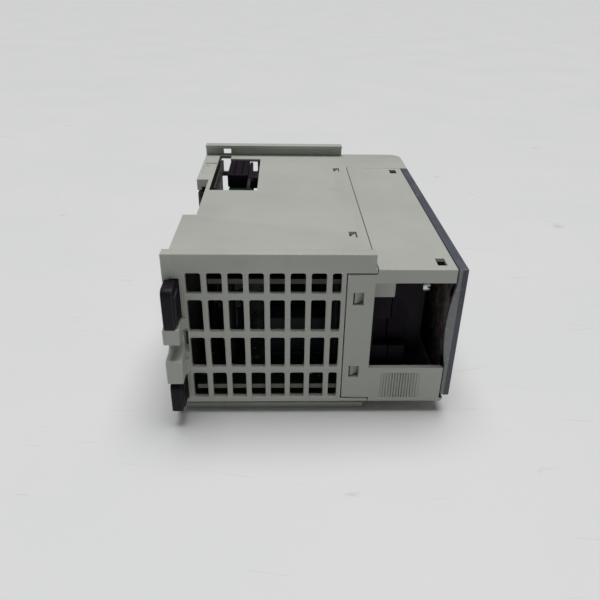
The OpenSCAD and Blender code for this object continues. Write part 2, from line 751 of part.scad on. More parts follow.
// A captive screw that holds one end of the terminal block.
module retaining_screw(y) {
    translate([0, y, retain_z]) difference() {
        union() {
            rod_x(block_x - 3.5, ear_x + 0.2, 0, 0, screw_r);
            rod_x(ear_x + 0.05, ear_x + 2.3, 0, 0, 2.3);
        }
        block([ear_x + 1.4, -3, -0.3], [ear_x + 3, 3, 0.3]);
    }
}

module retaining_screw_bottom() {
    color("#b8babc") placed() retaining_screw(block_y + block_end / 2);
}

module retaining_screw_top() {
    color("#b8babc") placed() retaining_screw(block_y + block_len - block_end / 2);
}

rear_housing();
front_housing();
door();
door_label();
light_pipe();
status_leds();
led_board();
logic_board();
power_board();
terminal_board();
board_spacers();
board_screws();
relays();
capacitors();
logic_chips();
bus_connector();
bus_pins();
bus_lever();
fixed_connector();
fixed_pins();
latch_bottom_left();
latch_bottom_right();
latch_top_left();
latch_top_right();
terminal_header();
header_pins();
terminal_block();
terminal_screws();
terminal_clamps();
finger_cover();
retaining_screw_bottom();
retaining_screw_top();
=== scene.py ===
# %% [markdown]
# # An expansion module for a modular controller
#
# This notebook dresses a finished CAD model. The model comes in as a frame: every shell, latch and
# screw already stands in its right place, in metres, and rides on the body that moves it. What is
# left to do here is what a camera sees at arm's length: moulded edges with a small radius, the fine
# texture of the plastic, the wear on the dark door and the crumpled label sheet behind it.

# %% Load the frame
import json
import math

import bmesh
import bpy
from mathutils import Matrix, Vector
from mathutils.kdtree import KDTree


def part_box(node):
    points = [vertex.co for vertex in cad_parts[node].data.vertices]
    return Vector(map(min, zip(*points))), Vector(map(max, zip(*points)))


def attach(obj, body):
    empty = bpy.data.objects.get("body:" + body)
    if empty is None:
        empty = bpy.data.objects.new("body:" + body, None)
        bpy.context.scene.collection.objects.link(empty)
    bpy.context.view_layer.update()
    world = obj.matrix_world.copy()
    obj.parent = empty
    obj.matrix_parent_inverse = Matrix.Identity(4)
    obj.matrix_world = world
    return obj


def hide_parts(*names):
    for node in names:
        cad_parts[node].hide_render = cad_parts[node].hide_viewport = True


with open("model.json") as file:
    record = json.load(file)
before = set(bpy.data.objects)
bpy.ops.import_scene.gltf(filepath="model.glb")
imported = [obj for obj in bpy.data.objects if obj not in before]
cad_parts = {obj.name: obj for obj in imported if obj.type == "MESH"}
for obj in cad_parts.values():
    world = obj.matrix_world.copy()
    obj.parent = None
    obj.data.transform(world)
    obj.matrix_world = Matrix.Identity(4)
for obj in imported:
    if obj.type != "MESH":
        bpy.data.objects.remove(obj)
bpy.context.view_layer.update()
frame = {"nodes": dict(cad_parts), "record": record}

MM = 0.001

# %% [markdown]
# ## Camera
# The camera stands low over the wire exit end, turned a little towards the door. A long list of
# matrix numbers would hide that, so the view is written as one would say it at a tripod: where the
# camera stands, how far it looks down, how far it turns and how much it leans.

# %% Place the camera
CAMERA_PLACE = Vector((-9.5, -208.9, 125.1)) * MM
LOOK_DOWN = math.radians(29.15)
TURN_RIGHT = math.radians(1.94)
LEAN = math.radians(0.98)
LENS = 35.86


def camera_axes(down, turn, lean):
    """Right, up and backward directions of a camera that looks along +Y before it is turned."""
    forward = Vector((math.sin(turn) * math.cos(down), math.cos(turn) * math.cos(down), -math.sin(down)))
    flat_right = Vector((math.cos(turn), -math.sin(turn), 0))
    flat_up = flat_right.cross(forward)
    right = math.cos(lean) * flat_right + math.sin(lean) * flat_up
    up = math.cos(lean) * flat_up - math.sin(lean) * flat_right
    return right, up, -forward


bpy.ops.object.camera_add()
camera = bpy.context.object
camera.name = "view_camera"
camera.data.lens = LENS
camera.data.clip_start = 0.01
axes = Matrix(camera_axes(LOOK_DOWN, TURN_RIGHT, LEAN)).transposed()
camera.matrix_world = Matrix.Translation(CAMERA_PLACE) @ axes.to_4x4()
bpy.context.scene.camera = camera
print("camera at", tuple(round(v, 3) for v in CAMERA_PLACE), "lens", LENS)

# %% [markdown]
# ## Writing shader maths as arithmetic
# A procedural finish is a small sum: a base colour, plus a little noise, minus some grime. Wiring
# each plus and minus by hand in the node editor hides the sum. So one small class wraps a node's
# output and teaches Python's own operators to add the Math nodes, and a second class adds every
# other kind of node through one method.

# %% Values and finishes
class Value:
    """A number or a colour on its way through a finish."""

    def __init__(self, finish, socket):
        self.finish, self.socket = finish, socket

    def sum(self, operation, *terms):
        return self.finish.add("ShaderNodeMath", {"operation": operation}, dict(enumerate(terms)))

    def __add__(self, other):
        return self.sum("ADD", self, other)

    def __sub__(self, other):
        return self.sum("SUBTRACT", self, other)

    def __mul__(self, other):
        return self.sum("MULTIPLY", self, other)

    def __rsub__(self, other):
        return self.sum("SUBTRACT", other, self)

    __radd__ = __add__
    __rmul__ = __mul__

    def between(self, low, high):
        """0 below low, 1 above high, and a soft step in the middle."""
        return self.finish.add("ShaderNodeMapRange", {"interpolation_type": "SMOOTHSTEP"},
                               {0: self, 1: low, 2: high, 3: 0.0, 4: 1.0})


class Finish:
    """A material under construction, with the piece's own coordinates ready to use."""

    def __init__(self, name):
        self.material = bpy.data.materials.new(name)
        self.material.use_nodes = True
        self.tree = self.material.node_tree
        self.shader = self.tree.nodes["Principled BSDF"]
        self.place = self.add("ShaderNodeTexCoord", {}, {}, "Object")

    def add(self, kind, settings, sockets, output=0):
        node = self.tree.nodes.new(kind)
        for key, value in settings.items():
            setattr(node, key, value)
        for key, value in sockets.items():
            if isinstance(value, Value):
                self.tree.links.new(value.socket, node.inputs[key])
            else:
                node.inputs[key].default_value = value
        return Value(self, node.outputs[output])

    def stretched(self, sx, sy, sz):
        return self.add("ShaderNodeMapping", {}, {"Vector": self.place, "Scale": (sx, sy, sz)})

    def noise(self, scale, detail=3.0, rough=0.55, place=None, lump=0.0):
        return self.add("ShaderNodeTexNoise", {},
                        {"Vector": place or self.place, "Scale": scale, "Detail": detail,
                         "Roughness": rough, "Distortion": lump})

    def mix(self, share, one, other):
        """Goes from one colour to the other."""
        one, other = [c if isinstance(c, Value) else (*c, 1) for c in (one, other)]
        return self.add("ShaderNodeMix", {"data_type": "RGBA"}, {0: share, 6: one, 7: other}, 2)

    def set(self, **sockets):
        """Sets the shader's sockets, where Base_Color stands for Base Color."""
        for key, value in sockets.items():
            socket = self.shader.inputs[key.replace("_", " ")]
            if isinstance(value, Value):
                self.tree.links.new(value.socket, socket)
            else:
                socket.default_value = value
        return self

    def rough_skin(self, height, depth, strength=1.0):
        """Turns a height pattern into a bumped surface, with its depth in millimetres."""
        return self.set(Normal=self.add("ShaderNodeBump", {}, {"Strength": strength, "Distance": depth * MM,
                                                               "Height": height}))


print("finishes are written with", len([n for n in dir(Value) if n.startswith("__")]), "operators")

# %% [markdown]
# ## Moulded housing plastic
# The shells are matt ABS from a spark-eroded mould. Up close that is a field of tiny rounded pits,
# far finer than the module, over a tone that drifts slowly where the plastic has aged, with a few
# specks of dirt rubbed in. A picture could be wrapped round it, but noise at three scales says the
# same in a handful of numbers and never repeats. The edges get their own, paler finish, because
# hands polish and chip them first. Inside, where hardly any light reaches, the shells carry painted
# shade, a much darker copy of the plastic, so the vents and the wire exit look into the dark.

# %% Housing finishes
def moulded(name, colour, grime=0.16, rub=0.0):
    f = Finish(name)
    pits = f.noise(2600, 2.0, 0.5)
    tone = f.noise(22, 4.0, 0.6).between(0.3, 0.75)
    cloud = f.noise(140, 5.0, 0.65)
    specks = f.noise(520, 2.0, 0.5).between(0.70, 0.78) * cloud.between(0.5, 0.7)
    pale, deep = [tuple(c * k for c in colour) for k in (1.05, 0.93)]
    warm = tuple(c * k for c, k in zip(colour, (0.60, 0.56, 0.48)))
    aged = f.mix(tone, pale, deep)
    smudged = f.mix(cloud.between(0.52, 0.8) * grime, aged, warm)
    polished = tuple(min(1, c * 1.3) for c in colour)
    rubbed = f.mix(f.noise(900, 2.0, 0.5).between(0.45, 0.65) * rub, smudged, polished)
    f.set(Base_Color=f.mix(specks * 0.7, rubbed, warm), Roughness=0.44 + 0.2 * cloud + 0.06 * pits,
          Specular_IOR_Level=0.38)
    return f.rough_skin(pits + cloud * 0.6, 0.03, 0.55).material


GREY = (0.446, 0.458, 0.414)
housing = moulded("housing plastic", GREY)
housing_edge = moulded("housing edge", tuple(c * 1.04 for c in GREY), 0.15, 0.5)
front = moulded("front shell plastic", tuple(c * 1.02 for c in GREY), 0.14)
front_edge = moulded("front shell edge", tuple(c * 1.06 for c in GREY), 0.15, 0.5)
# painted shade: the faces inside the shells get the grey at a tenth of its brightness, with some grime
painted_shade_inside = moulded("painted shade housing inside", tuple(c * 0.10 for c in GREY), 0.4)
print("housing grey", GREY)

# %% [markdown]
# ## The dark door
# The door is slate-coloured plastic that slides past fingers, wires and other modules all day. Its
# wear has a direction: fine rubs along its length, and pale nicks where the edge meets the world.
# Stretching the noise's coordinates along the door gives the rubs, and a stronger mix of the same
# pattern on the edge strips gives the nicks.

# %% Door finishes
def slate(name, colour, wear):
    f = Finish(name)
    rubs = f.noise(700, 4.0, 0.6, f.stretched(1, 0.12, 1))
    nicks = f.noise(420, 6.0, 0.7, f.stretched(1, 0.4, 1)).between(0.62, 0.70)
    cloud = f.noise(90, 4.0, 0.6)
    pale = tuple(min(1, c * 2.6 + 0.02) for c in colour)
    body = f.mix(cloud.between(0.3, 0.8), tuple(c * 0.85 for c in colour), tuple(c * 1.15 for c in colour))
    worn = f.mix(rubs.between(0.5, 0.75) * wear, body, pale)
    f.set(Base_Color=f.mix(nicks * wear, worn, tuple(c * 1.5 for c in pale)),
          Roughness=0.36 + 0.22 * rubs + 0.1 * cloud, Specular_IOR_Level=0.45)
    return f.rough_skin(rubs + f.noise(2200, 2.0) * 0.5, 0.025, 0.6).material


SLATE = (0.078, 0.086, 0.106)
door_skin = slate("door skin", SLATE, 0.18)
door_edge = slate("door edge", tuple(c * 1.15 for c in SLATE), 0.45)
# painted highlight: the door's end flange behind the skin is a pale grey, about three times as bright as
# the slate
door_flange_highlight = slate("door flange painted highlight", (0.225, 0.226, 0.232), 0.30)
print("door slate", SLATE)

# %% [markdown]
# ## Black plastics
# Latches, connectors and terminals are glass-filled polyamide: black with a breath of violet, a
# satin gloss, and a faint grain where the glass fibres lie under the skin. Two scales of noise in
# the roughness carry most of that look, because a black surface shows its reflections rather than
# its colour.

# %% Black finishes
def fibre_black(name, colour, gloss, dust=0.15, shine=0.25):
    f = Finish(name)
    fibres = f.noise(1500, 3.0, 0.6, f.stretched(1, 0.35, 1))
    cloud = f.noise(160, 4.0, 0.6)
    dusty = f.mix(cloud.between(0.55, 0.8) * dust, colour, (0.075, 0.068, 0.070))
    f.set(Base_Color=dusty, Roughness=gloss + 0.18 * cloud + 0.08 * fibres, Specular_IOR_Level=shine)
    return f.rough_skin(fibres + cloud * 0.4, 0.02, 0.5).material


latch_black = fibre_black("latch polyamide", (0.0075, 0.0050, 0.0082), 0.38, 0.12, 0.18)
latch_edge = fibre_black("latch edge", (0.022, 0.018, 0.023), 0.30, 0.3)
block_black = fibre_black("terminal block polyamide", (0.0085, 0.0050, 0.0095), 0.50, 0.1, 0.12)
block_edge = fibre_black("terminal block edge", (0.010, 0.008, 0.010), 0.42, 0.15, 0.2)
cover_black = fibre_black("finger cover plastic", (0.0100, 0.0064, 0.0110), 0.42, 0.12, 0.18)
relay_black = fibre_black("relay case", (0.012, 0.016, 0.026), 0.30)
spacer_black = fibre_black("spacer nylon", (0.012, 0.010, 0.012), 0.40)
relay_edge = fibre_black("relay rim", (0.020, 0.024, 0.034), 0.26, 0.3)
chip_black = fibre_black("chip epoxy", (0.018, 0.018, 0.019), 0.55)
print("black finishes:", len([m for m in bpy.data.materials if "black" in m.name or "polyamide" in m.name]))

# %% [markdown]
# ## Metals, boards and small parts
# Zinc-plated steel is brushed and slightly cloudy, gold flash is warm and smooth, a circuit board is
# dark green lacquer with copper tracks under it and raw glass fibre at its cut edge, and capacitors
# wear a shiny shrink sleeve. Each is one short finish, and the patterns keep their real scale, so
# the tracks of a board and the weave at its edge are a fraction of a millimetre wide.

# %% Metal finishes
def metal(name, colour, low, high, brushed):
    f = Finish(name)
    brush = f.noise(1800, 4.0, 0.7, f.stretched(*brushed))
    cloud = f.noise(400, 3.0, 0.6)
    f.set(Base_Color=f.mix(cloud.between(0.35, 0.8) * 0.5, colour, tuple(c * 0.62 for c in colour)),
          Metallic=1.0, Roughness=low + (high - low) * brush)
    return f.rough_skin(brush, 0.01, 0.5).material


zinc = metal("zinc plated steel", (0.62, 0.62, 0.64), 0.18, 0.48, (1, 0.2, 1))
gold = metal("gold flash", (0.72, 0.52, 0.20), 0.15, 0.32, (1, 1, 0.2))


# %% Board finishes
def lacquer():
    f = Finish("board lacquer")
    tracks = f.add("ShaderNodeTexBrick", {"offset": 0.37, "squash": 0.6, "squash_frequency": 3},
                   {"Vector": f.place, "Scale": 130.0, "Mortar Size": 0.035, "Mortar Smooth": 0.3,
                    "Color1": (0, 0, 0, 1), "Color2": (0, 0, 0, 1), "Mortar": (1, 1, 1, 1)})
    pads = f.add("ShaderNodeTexVoronoi", {"feature": "F1"}, {"Vector": f.place, "Scale": 260.0})
    copper = f.add("ShaderNodeRGBToBW", {}, {0: tracks})
    solder = 1 - pads.between(0.16, 0.2)
    green = f.mix(copper * 0.8, (0.006, 0.026, 0.014), (0.013, 0.060, 0.028))
    f.set(Base_Color=f.mix(solder * 0.7, green, (0.30, 0.30, 0.29)), Roughness=0.28 + 0.2 * f.noise(300),
          Coat_Weight=0.3)
    return f.rough_skin(copper + solder, 0.03, 0.6).material


def cut_board():
    f = Finish("board cut edge")
    weave = f.add("ShaderNodeTexWave", {"bands_direction": "DIAGONAL"},
                  {"Vector": f.place, "Scale": 900.0, "Distortion": 2.0, "Detail": 2.0}, "Fac")
    f.set(Base_Color=f.mix(weave, (0.19, 0.19, 0.16), (0.27, 0.265, 0.22)), Roughness=0.6 + 0.2 * weave)
    return f.rough_skin(weave, 0.02, 0.6).material


board_green, board_edge = lacquer(), cut_board()
print("board finishes ready")


# %% Sleeve and clear finishes
def shiny(name, colour, rough, through=0.0):
    f = Finish(name)
    cloud = f.noise(240, 4.0, 0.6)
    f.set(Base_Color=f.mix(cloud.between(0.35, 0.75), tuple(c * 0.86 for c in colour), colour),
          Roughness=rough + 0.12 * cloud, Coat_Weight=0.25, Transmission_Weight=through, IOR=1.49)
    return f.rough_skin(cloud + f.noise(1900) * 0.3, 0.015, 0.5).material


sleeve = shiny("capacitor sleeve", (0.030, 0.024, 0.036), 0.16)
can_top = metal("capacitor top", (0.70, 0.70, 0.71), 0.25, 0.45, (1, 1, 1))
clear = shiny("light pipe acrylic", (0.72, 0.75, 0.71), 0.08, 0.55)
lens = shiny("indicator lens", (0.30, 0.50, 0.16), 0.12)
print("materials so far:", len(bpy.data.materials))

# %% [markdown]
# ## The label sheet
# Behind the door lies a printed card that heat and handling have crumpled. Paper this thin shows
# every crease as a bright ridge next to a dark one, and the finish paints that shade in: the card
# turns near black along the creases. The sheet itself is bent in the mesh further on; here the
# finish adds the fine cockle of the fibres and the brown stains.

# %% Label finish
def crumpled_paper():
    f = Finish("label sheet")
    creases = f.add("ShaderNodeTexVoronoi", {"feature": "DISTANCE_TO_EDGE"},
                    {"Vector": f.place, "Scale": 620.0, "Randomness": 1.0})
    stain = f.noise(110, 5.0, 0.65)
    cockle = f.noise(850, 4.0, 0.6, None, 0.8)
    paper = f.mix(stain.between(0.35, 0.7), (0.24, 0.195, 0.175), (0.085, 0.060, 0.058))
    # painted shade: the card goes near black along the crease lines, broken up by the cockle noise
    f.set(Base_Color=f.mix((1 - creases.between(0.0, 0.12)) * cockle, paper, (0.025, 0.018, 0.018)),
          Roughness=0.7 + 0.2 * stain)
    return f.rough_skin(creases + cockle, 0.12, 0.9).material


paper = crumpled_paper()
print("label sheet finish ready")

# %% [markdown]
# ## Edges with a radius
# CAD leaves every edge razor sharp, and a razor edge catches no light. A real moulded edge has a
# radius of a fifth of a millimetre or more, and its thin highlight is what makes plastic look like
# plastic. It could be faked in the shading, but then the outline stays sharp. So each shell is copied,
# its loose triangles are welded and dissolved back into the flat faces they came from, its long sharp
# edges are selected and bevelled, and the bevel's strips take the edge finish. A bevel that is wider
# than the face beside it folds over itself, so every result is searched for triangles that look the
# wrong way, and the edges at those places stay sharp on the next try.

# %% Helpers for hand modelling
def alone(piece):
    """Deselects everything, then selects and activates this one piece."""
    bpy.ops.object.select_all(action="DESELECT")
    piece.select_set(True)
    bpy.context.view_layer.objects.active = piece


def add(piece, kind, **settings):
    """Adds one modifier to a piece and applies it."""
    alone(piece)
    modifier = piece.modifiers.new(kind.lower(), kind)
    for key, value in settings.items():
        setattr(modifier, key, value)
    bpy.ops.object.modifier_apply(modifier=modifier.name)


def pick(piece, wanted):
    """Goes into edit mode with exactly these faces selected."""
    alone(piece)
    bpy.ops.object.mode_set(mode="EDIT")
    bpy.ops.mesh.select_mode(type="FACE")
    bpy.ops.mesh.select_all(action="DESELECT")
    mesh = bmesh.from_edit_mesh(piece.data)
    for face in mesh.faces:
        face.select_set(wanted(face))
    bmesh.update_edit_mesh(piece.data)


def dress(piece, *materials):
    piece.data.materials.clear()
    for material in materials:
        piece.data.materials.append(material)


def hand_in(piece, body, slot, *nodes):
    """Puts the piece's place into its mesh, sets it on its body and hides the CAD nodes it stands for; the
    slot is not used.
    """
    alone(piece)
    bpy.ops.object.transform_apply(location=True, rotation=True, scale=True)
    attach(piece, body)
    if nodes:
        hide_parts(*nodes)


body_of = {node: body for body, nodes in frame["record"]["behaviour"]["bodies"].items() for node in nodes}
slot_of = {part["node"]: part["material_slot"] for part in frame["record"]["subparts"]}


# %% Choose the edges that can take a radius
SMOOTH_BEND = math.radians(40)      # a sharp edge runs on into the next one up to this bend
SMALLEST_FOLD = 0.03 * MM * MM


def long_chains(mesh, shortest):
    """The sharp edges that are part of a smooth run that is long enough."""
    chosen = [e for e in mesh.edges if e.select and len(e.link_faces) == 2]
    run = {e: e for e in chosen}

    def root(e):
        while run[e] is not e:
            e = run[e]
        return e

    for e in chosen:
        for v in e.verts:
            for other in v.link_edges:
                if other is not e and other in run:
                    one, two = e.other_vert(v).co - v.co, v.co - other.other_vert(v).co
                    if one.length > 0 and two.length > 0 and one.angle(two) < SMOOTH_BEND:
                        run[root(e)] = root(other)
    length = {}
    for e in chosen:
        length[root(e)] = length.get(root(e), 0) + e.calc_length()
    return [e for e in chosen if length[root(e)] > shortest]


def folded_corners(piece):
    """Where a bevel has turned a face over: the corners of every triangle that looks the wrong way."""
    mesh = bmesh.new()
    mesh.from_mesh(piece.data)
    mesh.normal_update()
    corners = []
    for triangle in mesh.calc_loop_triangles():
        a, b, c = [loop.vert.co for loop in triangle]
        across = (b - a).cross(c - a)
        turned = across.dot(triangle[0].face.normal) < 0.5 * across.length
        if turned and across.length > SMALLEST_FOLD:
            corners += [a.copy(), b.copy(), c.copy()]
    mesh.free()
    return corners


def near_any(places, reach):
    """A test that says whether a point lies near one of these places."""
    if not places:
        return lambda point: False
    tree = KDTree(len(places))
    for number, place in enumerate(places):
        tree.insert(place, number)
    tree.balance()
    return lambda point: tree.find(point)[2] < reach


# %% Soften one shell
def soften(node, radius, *materials, shortest=2.0, sharp=40, tries=7):
    piece = bpy.data.objects.new("soft_" + node, frame["nodes"][node].data.copy())
    bpy.context.scene.collection.objects.link(piece)
    dress(piece, *materials)
    alone(piece)
    bpy.ops.object.mode_set(mode="EDIT")
    bpy.ops.mesh.select_mode(type="EDGE")
    bpy.ops.mesh.select_all(action="SELECT")
    bpy.ops.mesh.remove_doubles(threshold=1e-6)
    bpy.ops.mesh.dissolve_limited(angle_limit=math.radians(0.6))
    bpy.ops.object.mode_set(mode="OBJECT")
    for polygon in piece.data.polygons:
        polygon.material_index = 0
    sharp_cornered = piece.data
    folds = []
    for _ in range(tries):
        piece.data = sharp_cornered.copy()
        folded_here = near_any(folds, 1.8 * radius * MM)
        bpy.ops.object.mode_set(mode="EDIT")
        bpy.ops.mesh.select_all(action="DESELECT")
        bpy.ops.mesh.edges_select_sharp(sharpness=math.radians(sharp))
        mesh = bmesh.from_edit_mesh(piece.data)
        chosen = [e for e in long_chains(mesh, shortest * MM)
                  if not any(folded_here(v.co) for v in e.verts)]
        bpy.ops.mesh.select_all(action="DESELECT")
        for e in chosen:
            e.select_set(True)
        bmesh.update_edit_mesh(piece.data)
        if chosen:
            bpy.ops.mesh.bevel(offset=radius * MM, segments=2, clamp_overlap=False,
                               material=1 if len(materials) > 1 else -1)
        bpy.ops.object.mode_set(mode="OBJECT")
        faults = folded_corners(piece)
        if not faults:
            break
        folds += faults
    bpy.ops.object.shade_smooth_by_angle(angle=math.radians(32))
    hand_in(piece, body_of[node], slot_of[node], node)
    print(node, "softened along", len(chosen), "edges; folds left", len(faults) // 3)
    return piece


# %% Soften the shells
def finish_inside(piece, low, high, index):
    """Gives every face whose middle lies between two corners another of the piece's finishes."""
    inside = [face for face in piece.data.polygons
              if all(low[axis] < face.center[axis] < high[axis] for axis in range(3))]
    for face in inside:
        face.material_index = index
    print(piece.name, "has", len(inside), "faces inside")


shell_low, shell_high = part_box("rear_housing")
front_low, front_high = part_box("front_housing")
PAINTED_SHADE_SLOT = 2                  # the place of the painted shade finish in each shell's list
WALLS = Vector((0, 1.7, 1.2)) * MM
RAIL_RECESS = 5.2 * MM      # from the rail side to just past the floor of the rail recess
TAB_AND_WALL = 9 * MM       # the panel tab and the end wall
SHELLS_OVERLAP = 2 * MM
SHELL_FLOOR = 3 * MM        # in the front shell only its lower side wall gets the painted shade
rear = soften("rear_housing", 0.22, housing, housing_edge, painted_shade_inside)
# painted shade: the faces inside the rear shell take the near-black copy of the grey
finish_inside(rear, Vector((shell_low.x + RAIL_RECESS, front_low.y, front_low.z)) + WALLS,
              Vector((front_low.x + SHELLS_OVERLAP, shell_high.y - TAB_AND_WALL, front_high.z - WALLS.z)),
              PAINTED_SHADE_SLOT)
front_shell = soften("front_housing", 0.22, front, front_edge, painted_shade_inside)
# painted shade: so do the faces of the front shell's lower inner wall
finish_inside(front_shell, front_low + WALLS,
              Vector((front_high.x - SHELLS_OVERLAP, front_high.y, front_low.z + SHELL_FLOOR)), PAINTED_SHADE_SLOT)
door = soften("door", 0.3, door_skin, door_edge, door_flange_highlight)
DOOR_SKIN = 1.75 * MM
SKIN_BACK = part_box("door")[1].x - DOOR_SKIN
pick(door, lambda face: face.normal.y < -0.5)
bpy.ops.mesh.bisect(plane_co=(SKIN_BACK, 0, 0), plane_no=(1, 0, 0))
bpy.ops.object.mode_set(mode="OBJECT")
# painted highlight: the near-facing end faces behind the skin take the pale flange finish
flange = [f for f in door.data.polygons if f.normal.y < -0.5 and f.center.x < SKIN_BACK]
for face in flange:
    face.material_index = 2
print("door end flange has", len(flange), "faces")

# %% Soften the black parts
for latch in ("latch_bottom_left", "latch_bottom_right", "latch_top_left", "latch_top_right"):
    soften(latch, 0.3, latch_black, latch_edge)
for node in ("terminal_block", "terminal_header"):
    soften(node, 0.2, block_black, block_edge, shortest=4)
soften("finger_cover", 0.25, cover_black, block_edge, shortest=14)
soften("bus_lever", 0.2, latch_black, latch_edge)
soften("bus_connector", 0.15, block_black, block_edge, shortest=4)
soften("fixed_connector", 0.12, block_black, block_edge, shortest=4)

# %% Soften the light pipe and the screws
soften("light_pipe", 0.15, clear)
for node in ("retaining_screw_bottom", "retaining_screw_top", "board_screws", "terminal_screws"):
    soften(node, 0.12, zinc, shortest=5, sharp=55)

# %% [markdown]
# ## Circuit boards
# A board is pressed from glass cloth and resin, lacquered green on both faces and then sawn out, so
# its cut edges and the walls of its holes show raw, straw-coloured cloth. Each board is copied from
# the CAD and every face that doesn't look along the board's thin direction takes the cut finish.

# %% Cut the boards' edges
for node in ("logic_board", "power_board", "terminal_board", "led_board"):
    low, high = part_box(node)
    thin = min(range(3), key=lambda axis: high[axis] - low[axis])
    board = bpy.data.objects.new("cut_" + node, frame["nodes"][node].data.copy())
    bpy.context.scene.collection.objects.link(board)
    dress(board, board_green, board_edge)
    for face in board.data.polygons:
        face.material_index = 0 if abs(face.normal[thin]) > 0.7 else 1
    hand_in(board, body_of[node], slot_of[node], node)
print("boards cut")

# %% Dress the nodes that stay
for node, finish in (("bus_pins", gold), ("fixed_pins", gold), ("header_pins", gold),
                     ("terminal_clamps", zinc), ("board_spacers", spacer_black), ("status_leds", lens)):
    dress(frame["nodes"][node], finish)
print("nodes dressed")

# %% [markdown]
# ## Relays
# A sealed relay is a moulded base with a cap glued over it. The cap is a cube with a bevelled rim and
# a shallow panel pressed into its top; the base is a plain slab that stands out a little, and a short
# vent nib is left on the cap. One relay is made and the row is filled with copies at the CAD's pitch.

# %% Helpers for the row of parts
def block(name, low, high, *materials):
    """A box between two corners, with its scale applied."""
    bpy.ops.object.select_all(action="DESELECT")
    bpy.ops.mesh.primitive_cube_add(size=1, location=(low + high) / 2)
    piece = bpy.context.object
    piece.name = name
    piece.scale = high - low
    bpy.ops.object.transform_apply(location=True, rotation=False, scale=True)
    dress(piece, *materials)
    return piece


def join(*pieces):
    bpy.ops.object.select_all(action="DESELECT")
    for piece in pieces:
        piece.select_set(True)
    bpy.context.view_layer.objects.active = pieces[0]
    bpy.ops.object.join()
    return pieces[0]


def row(first, steps):
    """Fills a row with copies of the first piece, each with its own mesh, and joins them."""
    copies = [first]
    for step in steps:
        copy = first.copy()
        copy.data = first.data.copy()
        copy.location = first.location + step
        bpy.context.scene.collection.objects.link(copy)
        copies.append(copy)
    return join(*copies)


up = Vector((0, 0, 1))
print("helpers ready")

# %% One relay, then the row
RELAYS = 4
RELAY_PITCH = 14 * MM
BASE = 2.2 * MM             # height of the base slab
low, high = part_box("relays")
size = Vector((high.x - low.x, high.y - low.y - (RELAYS - 1) * RELAY_PITCH, high.z - low.z))
inset = Vector((0.3, 0.3, 0)) * MM
base = block("relay_base", low, low + Vector((size.x, size.y, BASE)), relay_black, relay_edge)
cap = block("relay_cap", low + inset + up * BASE, low + size - inset - up * 0.2 * MM,
            relay_black, relay_edge)
add(cap, "BEVEL", width=0.5 * MM, segments=3, limit_method="ANGLE", material=1)
pick(cap, lambda face: face.normal.z > 0.9)
bpy.ops.mesh.inset(thickness=1.1 * MM)
bpy.ops.mesh.extrude_region_move(TRANSFORM_OT_translate={"value": (0, 0, -0.35 * MM)})
bpy.ops.mesh.inset(thickness=0.12 * MM)
bpy.ops.object.mode_set(mode="OBJECT")
add(base, "BEVEL", width=0.25 * MM, segments=2, limit_method="ANGLE", material=1)
bpy.ops.mesh.primitive_cylinder_add(vertices=24, radius=0.8 * MM, depth=0.5 * MM,
                                    location=low + Vector((3 * MM, size.y / 2, size.z - 0.35 * MM)))
nib = bpy.context.object
dress(nib, relay_black, relay_edge)
add(nib, "BEVEL", width=0.12 * MM, segments=2, limit_method="ANGLE", material=1)
relays = row(join(cap, base, nib), [Vector((0, RELAY_PITCH * k, 0)) for k in range(1, RELAYS)])
relays.name = "relay_row"
alone(relays)
bpy.ops.object.shade_smooth_by_angle(angle=math.radians(32))
hand_in(relays, body_of["relays"], slot_of["relays"], "relays")
print("relays:", RELAYS, "with", len(relays.data.polygons), "faces")

# %% [markdown]
# ## Capacitors
# An electrolytic capacitor is an aluminium can in a shrink sleeve, with a groove rolled in near its
# foot and a cross scored into its top so that it opens safely. It is drawn up like a pot on a wheel:
# from a disc, each ring is pulled up and drawn in or let out. The cross is cut by two planes, and the
# strips beside the cuts are bevelled and pushed down.

# %% One capacitor, then the row
CAPACITORS = 3
CAPACITOR_PITCH = 13 * MM
low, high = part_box("capacitors")
radius = (high.x - low.x) / 2
tall = high.z - low.z
middle = Vector((low.x + radius, low.y + radius, low.z))
bpy.ops.object.select_all(action="DESELECT")
bpy.ops.mesh.primitive_circle_add(vertices=48, radius=radius, fill_type="NGON", location=middle)
can = bpy.context.object
can.name = "capacitor_row"
dress(can, sleeve, can_top)
FULL = tall / MM
RINGS = ((0.4, 1.00), (1.6, 1.00), (2.1, 0.90), (2.7, 0.90), (3.2, 1.00), (FULL - 0.9, 1.00),
         (FULL - 0.25, 0.95), (FULL, 0.86), (FULL - 0.05, 0.78), (FULL - 0.35, 0.76))   # height, width
pick(can, lambda face: True)
height, width = 0, 1.0
for rise, wide in RINGS:
    bpy.ops.mesh.extrude_region_move(TRANSFORM_OT_translate={"value": (0, 0, (rise - height) * MM)})
    bpy.ops.transform.resize(value=(wide / width, wide / width, 1), center_override=middle + up * rise * MM)
    height, width = rise, wide
bpy.ops.mesh.bisect(plane_co=middle, plane_no=(1, 0, 0))
bpy.ops.object.mode_set(mode="OBJECT")
pick(can, lambda face: face.normal.z > 0.99 and face.calc_center_median().z > low.z + tall - 0.4 * MM)
bpy.ops.mesh.bisect(plane_co=middle, plane_no=(0, 1, 0))
bpy.ops.mesh.select_mode(type="EDGE")
bpy.ops.mesh.select_all(action="DESELECT")
mesh = bmesh.from_edit_mesh(can.data)
top = low.z + tall - 0.35 * MM
for edge in mesh.edges:
    ends = [v.co + can.location for v in edge.verts]
    crossing = all(abs(end.z - top) < 0.02 * MM for end in ends) and (
        all(abs(end.x - middle.x) < 0.01 * MM for end in ends)
        or all(abs(end.y - middle.y) < 0.01 * MM for end in ends))
    edge.select_set(crossing)
bmesh.update_edit_mesh(can.data)
bpy.ops.mesh.bevel(offset=0.18 * MM, segments=1)
bpy.ops.mesh.select_mode(type="FACE")
